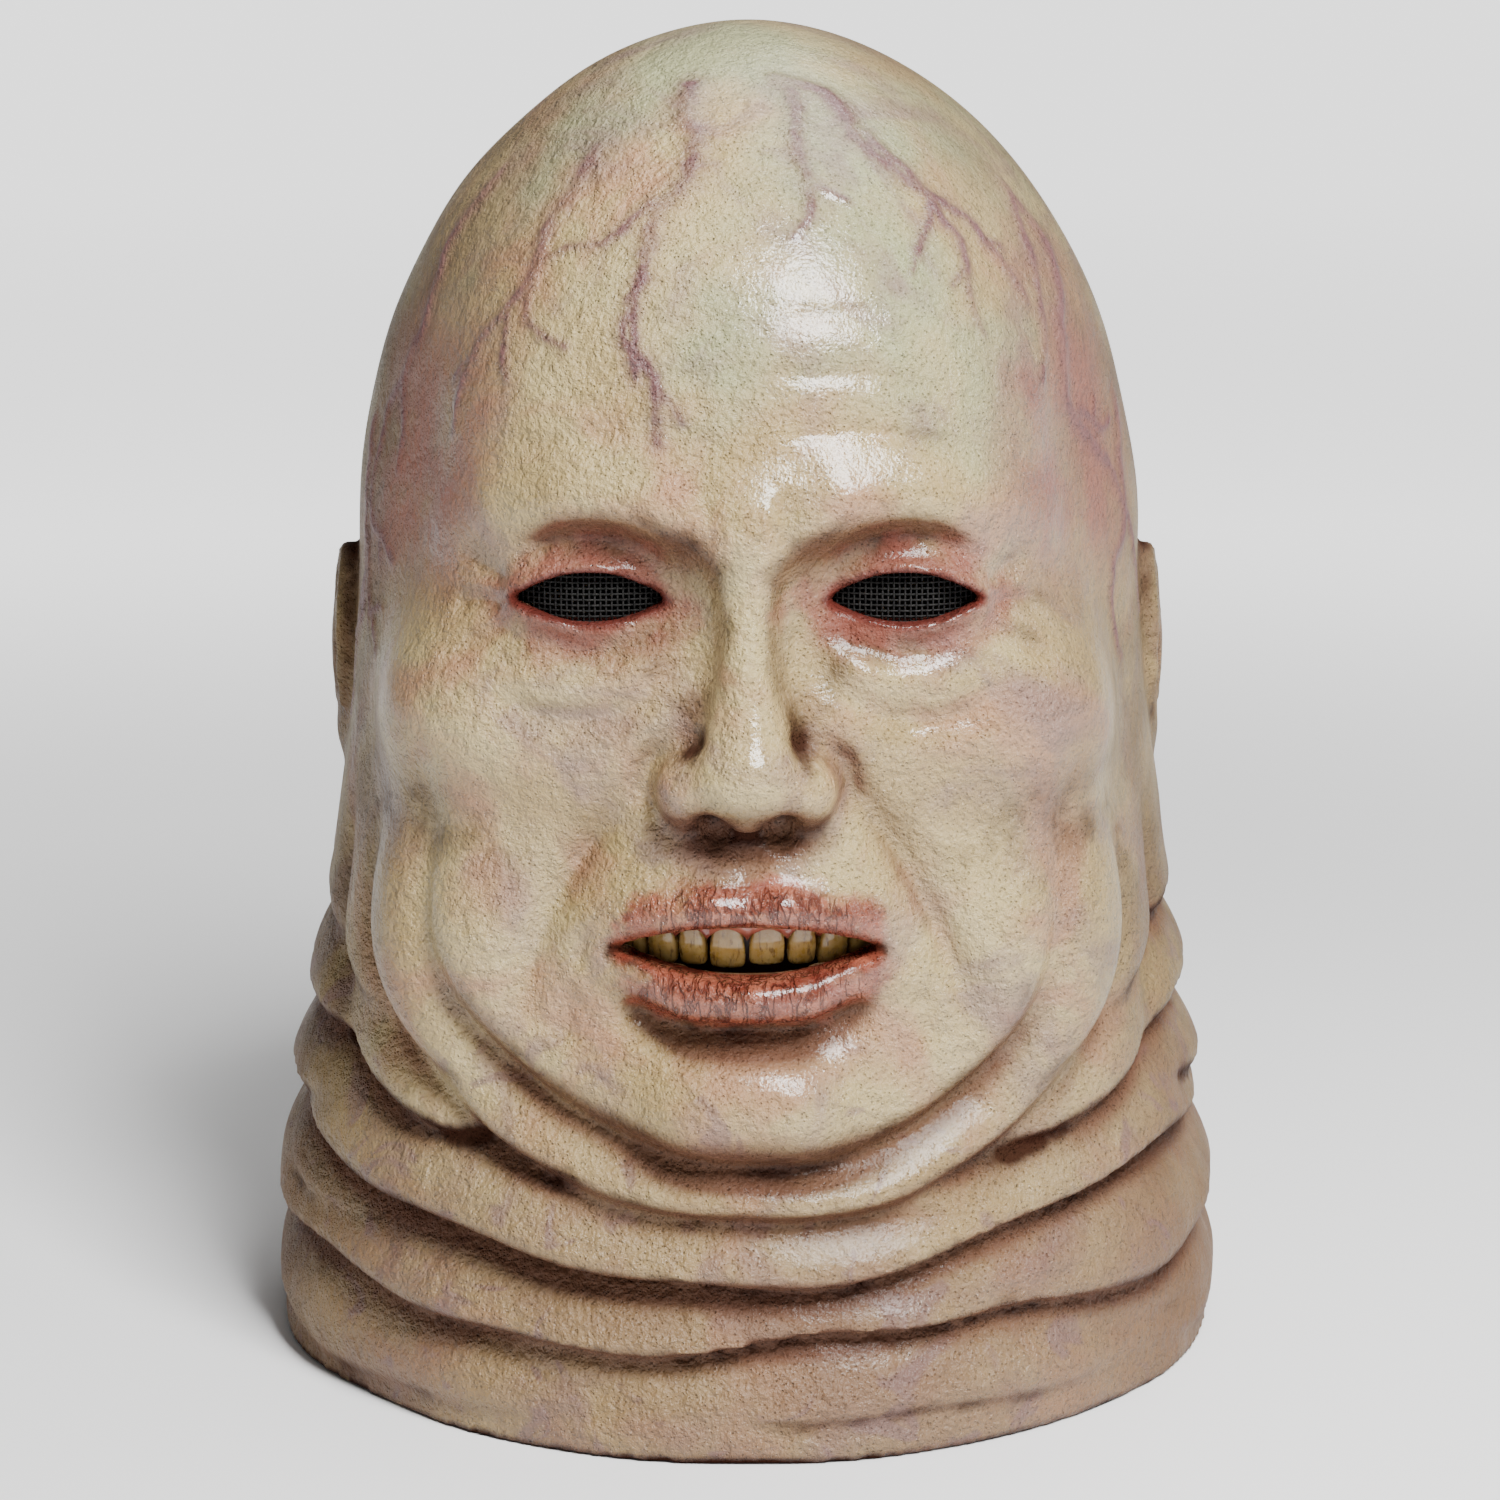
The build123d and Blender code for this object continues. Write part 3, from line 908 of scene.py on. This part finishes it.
def build_pads():
    """Foam pads, each in the place of its CAD node."""
    # the two axes that a pad's outline lies in, and its corner radius
    plans = {
        "crown_pad": (0, 1, 32),
        "brow_pad": (0, 2, 13),
        "nape_pad": (0, 2, 16),
        "temple_pad_left": (1, 2, 20),
        "temple_pad_right": (1, 2, 20),
    }
    depth = (WALL + 0.4, WALL + 9.9)
    pads = {}
    for node, (u, v, corner) in plans.items():
        low, high = (np.array(c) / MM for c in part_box(node))
        centre, half = (low + high) / 2, (high - low) / 2 - 0.5
        outline = (centre[[u, v]], half[[u, v]], corner)

        def plate(points, u=u, v=v, outline=outline):
            return rounded_plate(points[:, u], points[:, v], *outline)

        name = "foam_" + node
        pads[node] = layer_piece(name, LINING_VOXEL, low - 3, high + 3, plate, depth, 4.0, plain_head)
    return pads


def build_flange_and_patch():
    def ring(points):
        x, z = points[:, 0], points[:, 2]
        centre = (0, MOUTH_Z + 1)
        hole = rounded_plate(x, z, centre, (34.5, 10), 9)
        return np.maximum(rounded_plate(x, z, centre, (41, 19), 13), -hole)

    def patch(points):
        centre = (0, SLIT_TOP + RELIEF_R + 13)
        return rounded_plate(points[:, 0], points[:, 2], centre, (23, 11), 7)

    pieces = []
    for name, plate, thickness, low, high in (
        ("latex_soaked_flange", ring, 1.7, (-46, -118, 96), (46, -78, 142)),
        ("nape_cloth_patch", patch, 1.3, (-27, 84, 120), (27, 106, 150)),
    ):
        depth = (WALL + 0.2, WALL + 0.2 + thickness)
        pieces.append(layer_piece(name, 2 * FINE_VOXEL, low, high, plate, depth, 0.5, sculpt))
    return pieces


def screen_y(s, z):
    """Where an eye net lies, just under the lids."""
    inside = 1 - ((s - EYE_X) / 22.0) ** 2 - ((z - EYE_Z) / 14.0) ** 2
    bulge = 12.2 * np.sqrt(np.maximum(inside, 0.05))
    return -80.6 - bulge + 0.013 * np.maximum(s - EYE_X, 0) ** 2


def build_screen(side, name):
    """Black net of woven threads behind one eye: square tubes, closed at their ends."""
    verts, faces = [], []
    for upright, span, reach, weave in (
        (True, NET_SPAN, NET_RISE, 0.16),
        (False, NET_RISE, NET_SPAN, -0.16),
    ):
        count = int(span / NET_PITCH)
        for k in range(-count, count + 1):
            offset = k * NET_PITCH
            end = reach * math.sqrt(max(1 - (offset / span) ** 2, 0.02))
            along = np.arange(-end, end, NET_PITCH / 2)
            across = np.full_like(along, offset)
            s, z = (across, along) if upright else (along, across)
            s, z = EYE_X + s, EYE_Z + z
            y = screen_y(s, z) + weave * np.cos(math.pi * (along / NET_PITCH + k))
            ds, dz = (NET_HALF, 0.0) if upright else (0.0, NET_HALF)
            first = len(verts)
            for a, b, c in zip(s, y, z):
                for toward, back in ((-1, -0.14), (1, -0.14), (1, 0.14), (-1, 0.14)):
                    verts.append((side * (a + toward * ds), b + back, c + toward * dz))
            last = len(verts) - 4
            for base in range(first, last, 4):
                for m in range(4):
                    n = (m + 1) % 4
                    faces.append((base + m, base + n, base + 4 + n, base + 4 + m))
            faces.append((first + 3, first + 2, first + 1, first))
            faces.append((last, last + 1, last + 2, last + 3))
    obj = mesh_object(name, np.array(verts), np.array(faces))
    set_attribute(obj.data, "rest", np.array(verts) * MM)
    return obj


# ---- materials
class Nodes:
    """A node tree, built node by node. Any value may be a number or another node's socket."""

    def __init__(self, tree):
        self.tree = tree

    def link(self, value, socket):
        if isinstance(value, bpy.types.NodeSocket):
            self.tree.links.new(value, socket)
        else:
            socket.default_value = value

    def node(self, kind, sockets, **settings):
        node = self.tree.nodes.new(kind)
        for key, value in settings.items():
            setattr(node, key, value)
        for key, value in sockets.items():
            self.link(value, node.inputs[key])
        return node

    def split(self, vector):
        return self.node("ShaderNodeSeparateXYZ", {"Vector": vector}).outputs

    def fit(self, value, low, high, to_low=0.0, to_high=1.0):
        """Value taken smoothly from low..high to to_low..to_high."""
        sockets = {"Value": value, "From Min": low, "From Max": high}
        sockets.update({"To Min": to_low, "To Max": to_high})
        node = self.node("ShaderNodeMapRange", sockets, interpolation_type="SMOOTHSTEP")
        return node.outputs["Result"]

    def math(self, operation, a, b=0.0):
        return self.node("ShaderNodeMath", {0: a, 1: b}, operation=operation).outputs[0]

    def times(self, a, b):
        return self.math("MULTIPLY", a, b)

    def plus(self, a, b):
        return self.math("ADD", a, b)


class Material(Nodes):
    """A procedural material round one Principled shader, placed by the rest attribute."""

    def __init__(self, name, **shader):
        self.material = bpy.data.materials.new(name)
        self.material.use_nodes = True
        super().__init__(self.material.node_tree)
        self.tree.nodes.clear()
        self.shader = self.node("ShaderNodeBsdfPrincipled", {})
        self.node("ShaderNodeOutputMaterial", {"Surface": self.shader.outputs["BSDF"]})
        self.use(**shader)
        self.place = self.attribute("rest", "Vector")

    def use(self, **sockets):
        """Sets the shader's sockets, and gives back the material."""
        for key, value in sockets.items():
            self.link(value, self.shader.inputs[key.replace("_", " ")])
        return self.material

    def attribute(self, name, output="Fac"):
        return self.node("ShaderNodeAttribute", {}, attribute_name=name).outputs[output]

    def noise(self, scale, detail=3.0, roughness=0.55, distortion=0.0, stretch=None):
        place = self.place
        if stretch:
            place = self.node("ShaderNodeMapping", {"Vector": place, "Scale": stretch}).outputs[0]
        sockets = {"Vector": place, "Scale": scale, "Detail": detail, "Roughness": roughness}
        sockets["Distortion"] = distortion
        return self.node("ShaderNodeTexNoise", sockets).outputs["Fac"]

    def spread(self, scale, detail, low=0.0, high=1.0):
        """Noise that wanders between low and high."""
        return self.fit(self.noise(scale, detail), 0.3, 0.7, low, high)

    def cells(self, scale):
        sockets = {"Vector": self.place, "Scale": scale}
        return self.node("ShaderNodeTexVoronoi", sockets).outputs["Distance"]

    def mix(self, factor, a, b):
        sockets = {0: factor}
        for index, colour in ((6, a), (7, b)):
            sockets[index] = (*colour, 1.0) if isinstance(colour, tuple) else colour
        return self.node("ShaderNodeMix", sockets, data_type="RGBA").outputs[2]

    def paint(self, factor, colour):
        """Lays a colour over the one that is there."""
        self.colour = self.mix(factor, self.colour, colour)

    def bump(self, height, distance, strength=1.0, before=None):
        sockets = {"Height": height, "Distance": distance, "Strength": strength}
        if before:
            sockets["Normal"] = before
        return self.node("ShaderNodeBump", sockets).outputs["Normal"]


def skin_material():
    n = Material("painted_latex", Coat_Roughness=0.09)
    crease, shade_and_wash = n.attribute("crease"), n.attribute("shade_and_wash")
    azimuth, inside = n.attribute("azimuth"), n.attribute("inside")
    height = n.split(n.place)["Z"]

    # cream latex, mottled with pink, green and mauve
    cream = n.mix(n.fit(n.noise(22, 4), 0.35, 0.65), (0.33, 0.228, 0.09), (0.42, 0.322, 0.145))
    blush = n.fit(n.noise(31, 3, distortion=0.6), 0.44, 0.66, 0, 0.9)
    n.colour = n.mix(blush, cream, (0.34, 0.175, 0.09))
    green = n.times(n.fit(n.noise(17, 3), 0.42, 0.62), n.fit(height, 0.17, 0.26))
    n.paint(n.times(green, 0.85), (0.27, 0.285, 0.145))
    mauve = n.times(n.fit(n.noise(26, 5, distortion=1.2), 0.48, 0.70), 0.7)
    n.paint(mauve, (0.20, 0.12, 0.105))

    # brown washes on the sides, temples and rolls, bruises and flecks; the washes on the sides and low on
    # the rolls are deepened into painted shade
    # painted shade with brown wash: darker where the head turns away from the front, less at the back
    turned = n.times(n.fit(azimuth, 0.45, 1.25), n.fit(azimuth, 1.6, 2.8, 1.0, 0.55))
    side = n.times(turned, n.fit(n.noise(28, 5), 0.25, 0.7, 0.45, 0.95))
    n.paint(side, (0.098, 0.062, 0.032))
    temple = n.times(n.fit(azimuth, 0.5, 0.8), n.fit(azimuth, 1.5, 1.1))
    temple = n.times(temple, n.times(n.fit(height, 0.18, 0.21), n.fit(height, 0.275, 0.235)))
    temple = n.times(temple, n.fit(n.noise(45, 4), 0.3, 0.6, 0.25, 0.9))
    n.paint(temple, (0.20, 0.075, 0.055))
    # painted shade with brown wash, darker towards the bottom of the neck rolls
    low = n.times(n.fit(height, 0.10, 0.03), n.fit(n.noise(24, 5), 0.25, 0.7, 0.4, 0.9))
    n.paint(low, (0.172, 0.093, 0.047))
    bruise = n.fit(n.noise(52, 3, distortion=1.5), 0.57, 0.68)
    bruise = n.times(bruise, n.fit(height, 0.13, 0.08))
    n.paint(n.times(bruise, 0.6), (0.15, 0.08, 0.08))
    fleck = n.times(n.fit(n.noise(420, 3), 0.60, 0.72), 0.25)
    n.paint(fleck, (0.17, 0.085, 0.05))

    # veins, a soft band with a darker core
    edge = n.plus(n.attribute("vein"), n.spread(300, 3, -0.35, 0.35))
    soft = n.plus(n.fit(edge, 0.1, 1.6, 0.5, 0.0), n.fit(edge, 0.4, 3.6, 0.5, 0.0))
    vein = n.times(soft, n.fit(n.noise(60, 3), 0.3, 0.6, 0.5, 1.0))
    n.paint(vein, (0.135, 0.060, 0.058))

    # brown wash and painted shade in the hollows and creases and on faces that look down
    broad_shade_and_wash = n.times(n.fit(shade_and_wash, 0.06, 0.54), 0.92)
    n.paint(broad_shade_and_wash, (0.105, 0.046, 0.028))
    # painted shade, near black, deep in the creases
    narrow = n.fit(n.plus(crease, n.spread(90, 3, -0.10, 0.10)), 0.09, 0.44)
    n.paint(n.times(narrow, 0.92), (0.026, 0.009, 0.006))

    # sore lids
    eyes = n.attribute("eyes")
    around = n.plus(eyes, n.spread(110, 4, -4.0, 4.0))
    n.paint(n.fit(around, 1.0, 13, 0.8, 0.0), (0.20, 0.060, 0.042))
    n.paint(n.fit(eyes, 0.0, 2.6, 0.8, 0.0), (0.065, 0.010, 0.008))

    # cracked lips
    lips = n.attribute("lips")
    around = n.plus(lips, n.spread(130, 4, -1.6, 1.6))
    flesh = n.mix(n.fit(n.noise(170, 4), 0.35, 0.65), (0.16, 0.030, 0.017), (0.28, 0.080, 0.045))
    n.paint(n.fit(around, 0.2, 4.2, 0.92, 0.0), flesh)
    folds = n.noise(1, 3, 0.5, 0.4, (430, 180, 130))
    cracks = n.fit(n.math("ABSOLUTE", n.math("SUBTRACT", folds, 0.5)), 0.0, 0.06, 1.0, 0.0)
    cracks = n.times(cracks, n.fit(lips, -0.4, 1.4, 0.6, 0.0))
    n.paint(cracks, (0.075, 0.010, 0.007))

    # unpainted latex inside
    raw = n.mix(n.spread(40, 4), (0.50, 0.37, 0.19), (0.58, 0.45, 0.26))
    n.paint(inside, raw)

    gloss = n.plus(n.spread(55, 4, 0.26, 0.46), n.fit(azimuth, 0.5, 1.2, 0, 0.2))
    wet = n.fit(lips, -0.5, 2.5, -0.16, 0.0)
    rough = n.plus(n.plus(gloss, wet), n.times(inside, 0.35))
    open_skin = n.math("SUBTRACT", 1.0, n.math("MAXIMUM", n.times(broad_shade_and_wash, 0.8), narrow))
    coat = n.times(n.fit(azimuth, 0.55, 1.15, 0.7, 0.08), open_skin)
    coat = n.times(coat, n.fit(height, 0.05, 0.12, 0.35, 1.0))
    shine = n.times(n.fit(azimuth, 0.6, 1.3, 0.45, 0.22), open_skin)

    # pebbled skin under a film of gloss with a finer grain
    pebble = n.plus(n.noise(720, 3, 0.6), n.times(n.noise(230, 3), 1.7))
    pores = n.fit(n.cells(900), 0.0, 0.32, -0.5, 0.0)
    relief = n.plus(n.plus(pebble, pores), n.times(cracks, -1.6))
    wrinkle = n.noise(60, 5, 0.6, 0.8)
    skin = n.bump(wrinkle, 0.0025, 0.5, n.bump(relief, 0.0013, 0.9))
    sparkle = n.plus(n.noise(1250, 2, 0.5), n.times(n.noise(260, 3), 1.6))
    film = n.bump(sparkle, 0.00012, 1.0, n.bump(wrinkle, 0.0015, 0.25))
    n.use(Base_Color=n.colour, Roughness=rough, Specular_IOR_Level=shine, Coat_Weight=coat)
    return n.use(Normal=skin, Coat_Normal=film)


def tooth_material():
    n = Material("stained_tooth_enamel", Coat_Weight=0.6, Coat_Roughness=0.08)
    height = n.split(n.place)["Z"]
    tip = TOOTH_TIP_Z * MM
    n.colour = n.mix(n.spread(260, 4), (0.50, 0.30, 0.075), (0.60, 0.41, 0.14))
    stain = n.times(n.fit(height, tip + 0.004, tip + 0.0095), 0.75)
    n.paint(stain, (0.16, 0.065, 0.018))
    bite = n.fit(height, tip + 0.0012, tip - 0.0004, 0, 0.5)
    n.paint(bite, (0.13, 0.055, 0.02))
    streak = n.fit(n.noise(900, 4, 0.6, 0.3, (1, 1, 0.25)), 0.52, 0.68, 0, 0.75)
    n.paint(streak, (0.12, 0.045, 0.012))
    grain = n.bump(n.noise(1300, 3, 0.5, 0, (1, 1, 0.3)), 0.00015, 0.6)
    return n.use(Base_Color=n.colour, Roughness=n.spread(500, 3, 0.18, 0.36), Normal=grain)


def gum_material():
    n = Material("wet_gum", Coat_Weight=0.8, Coat_Roughness=0.06)
    n.colour = n.mix(n.fit(n.noise(240, 4), 0.35, 0.65), (0.34, 0.070, 0.045), (0.44, 0.13, 0.085))
    edge = (TOOTH_TIP_Z + 8.6) * MM
    dirt = n.fit(n.split(n.place)["Z"], edge + 0.0012, edge - 0.002, 0, 0.7)
    n.paint(dirt, (0.11, 0.018, 0.012))
    lumps = n.bump(n.noise(900, 4), 0.0003, 0.6)
    return n.use(Base_Color=n.colour, Roughness=n.spread(600, 3, 0.12, 0.28), Normal=lumps)


def acrylic_material():
    n = Material("dark_acrylic", Coat_Weight=0.3, Coat_Roughness=0.2)
    n.colour = n.mix(n.spread(160, 4), (0.045, 0.007, 0.006), (0.085, 0.014, 0.011))
    lumps = n.bump(n.noise(700, 3), 0.0003, 0.5)
    return n.use(Base_Color=n.colour, Roughness=n.spread(400, 3, 0.35, 0.55), Normal=lumps)


def net_material():
    n = Material("black_net", Specular_IOR_Level=0.2)
    n.colour = n.mix(n.spread(800, 3), (0.004, 0.004, 0.004), (0.016, 0.015, 0.014))
    fibre = n.bump(n.noise(2500, 2), 0.0001, 0.6)
    return n.use(Base_Color=n.colour, Roughness=n.spread(900, 2, 0.6, 0.85), Normal=fibre)


def foam_material():
    n = Material("open_cell_foam", Sheen_Weight=0.15)
    cells = n.cells(620)
    n.colour = n.mix(n.fit(cells, 0.1, 0.6), (0.022, 0.022, 0.024), (0.085, 0.085, 0.09))
    n.paint(n.fit(n.noise(60, 4), 0.45, 0.7, 0, 0.5), (0.11, 0.10, 0.09))
    pits = n.bump(n.plus(cells, n.noise(1200, 3)), 0.0008, 0.9)
    return n.use(Base_Color=n.colour, Roughness=n.spread(500, 2, 0.8, 0.98), Normal=pits)


def cloth_material():
    n = Material("latex_soaked_cloth", Sheen_Weight=0.1)
    place = n.split(n.place)
    turns = 2 * math.pi / THREAD_PITCH
    warp, weft = (n.math("SINE", n.times(place[axis], turns)) for axis in "XZ")
    weave = n.times(warp, weft)
    n.colour = n.mix(n.spread(70, 4), (0.50, 0.41, 0.26), (0.62, 0.53, 0.37))
    n.paint(n.fit(weave, -1, 1, 0.0, 0.35), (0.30, 0.22, 0.12))
    threads = n.bump(n.plus(weave, n.noise(900, 3)), 0.0003, 0.8)
    return n.use(Base_Color=n.colour, Roughness=n.spread(300, 3, 0.6, 0.85), Normal=threads)


def floor_material():
    """White sheet, lit from below away from the mask, that fades into the surround."""
    n = Material("studio_floor", Roughness=0.6, Specular_IOR_Level=0.2)
    n.use(Base_Color=(0.9, 0.9, 0.9, 1), Emission_Color=(1, 1, 1, 1))
    place = n.node("ShaderNodeTexCoord", {}).outputs["Object"]
    reach = n.node("ShaderNodeVectorMath", {0: place}, operation="LENGTH").outputs["Value"]
    return n.use(Emission_Strength=n.fit(reach, 0.35, 1.5, 0.0, 1.5), Alpha=n.fit(reach, 1.2, 6.0, 1.0, 0.0))


def dress(obj, material):
    obj.data.materials.clear()
    obj.data.materials.append(material)


def place_skin(material):
    skin = build_skin()
    dress(skin, material)
    split = (0, SPLIT_Y * MM, 0)
    backs = {}
    for side, label in ((1, "left"), (-1, "right")):
        planes = ((split, (0, -1, 0)), ((0, 0, 0), (-side, 0, 0)))
        backs[side] = cut_piece(skin, "latex_nape_" + label, planes)
    face = cut_piece(skin, "latex_face", ((split, (0, 1, 0)),))
    bpy.data.objects.remove(skin)
    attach(face, "mask")
    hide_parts("latex_skin")
    for side, piece in backs.items():
        node = "nape_flap_left" if side > 0 else "nape_flap_right"
        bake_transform(piece)
        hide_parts(node)


def place_fittings():
    cloth = cloth_material()
    teeth, gum = build_mouth()
    flange, patch = build_flange_and_patch()
    foam = foam_material()
    net = net_material()
    pieces = [
        (teeth, tooth_material(), "upper_teeth", "teeth"),
        (gum, gum_material(), "upper_gum", "gum"),
        (flange, cloth, "mouth_flange", "reinforcement"),
        (patch, cloth, "slit_patch", "reinforcement"),
        (build_screen(1, "eye_net_left"), net, "eye_screen_left", "mesh"),
        (build_screen(-1, "eye_net_right"), net, "eye_screen_right", "mesh"),
    ]
    for node, pad in build_pads().items():
        pieces.append((pad, foam, node, "foam"))
    for piece, material, node, slot in pieces:
        dress(piece, material)
        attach(piece, "mask")
        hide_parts(node)
    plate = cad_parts["denture_plate"]
    set_attribute(plate.data, "rest", np.array([v.co for v in plate.data.vertices]))
    dress(plate, acrylic_material())


# ---- stage, lights, camera
def area_light(name, place, target, size, power):
    data = bpy.data.lights.new(name, "AREA")
    data.shape = "RECTANGLE"
    data.size, data.size_y = size
    data.energy = power
    put_object(name, data, place, target)


def put_object(name, data, place, target):
    """Places a light or camera so that it looks at its target."""
    obj = bpy.data.objects.new(name, data)
    obj.location = place
    obj.rotation_euler = (Vector(target) - Vector(place)).to_track_quat("-Z", "Y").to_euler()
    bpy.context.scene.collection.objects.link(obj)
    return obj


def set_stage():
    bpy.ops.mesh.primitive_plane_add(size=30)
    floor = bpy.context.active_object
    floor.name = "floor"
    dress(floor, floor_material())
    area_light("key", (0.38, -0.74, 1.12), (0, -0.02, 0.18), (0.36, 0.6), 43)
    area_light("top", (0.25, 0.35, 1.4), (0, 0.1, 0.2), (0.8, 0.8), 6)


def set_world():
    """Studio surround: pale along the horizon, dimmer overhead and to the left."""
    world = bpy.data.worlds.new("studio")
    world.use_nodes = True
    n = Nodes(world.node_tree)
    way = n.split(n.node("ShaderNodeTexCoord", {}).outputs["Generated"])
    level = n.times(n.fit(way["Z"], 0.002, 0.07, 2.0, 0.24), n.fit(way["X"], -0.8, -0.2, 0.3, 1.0))
    background = world.node_tree.nodes["Background"]
    background.inputs["Color"].default_value = (1, 1, 1, 1)
    n.link(level, background.inputs["Strength"])
    bpy.context.scene.world = world


def set_camera():
    distance, elevation = 0.9, math.radians(10.5)
    data = bpy.data.cameras.new("camera")
    data.lens = 86.9
    data.sensor_width = 36
    place = (0, -distance * math.cos(elevation), 0.16 + distance * math.sin(elevation))
    bpy.context.scene.camera = put_object("camera", data, place, (0.0007, 0, 0.142))


set_camera()
set_world()
set_stage()
place_skin(skin_material())
place_fittings()
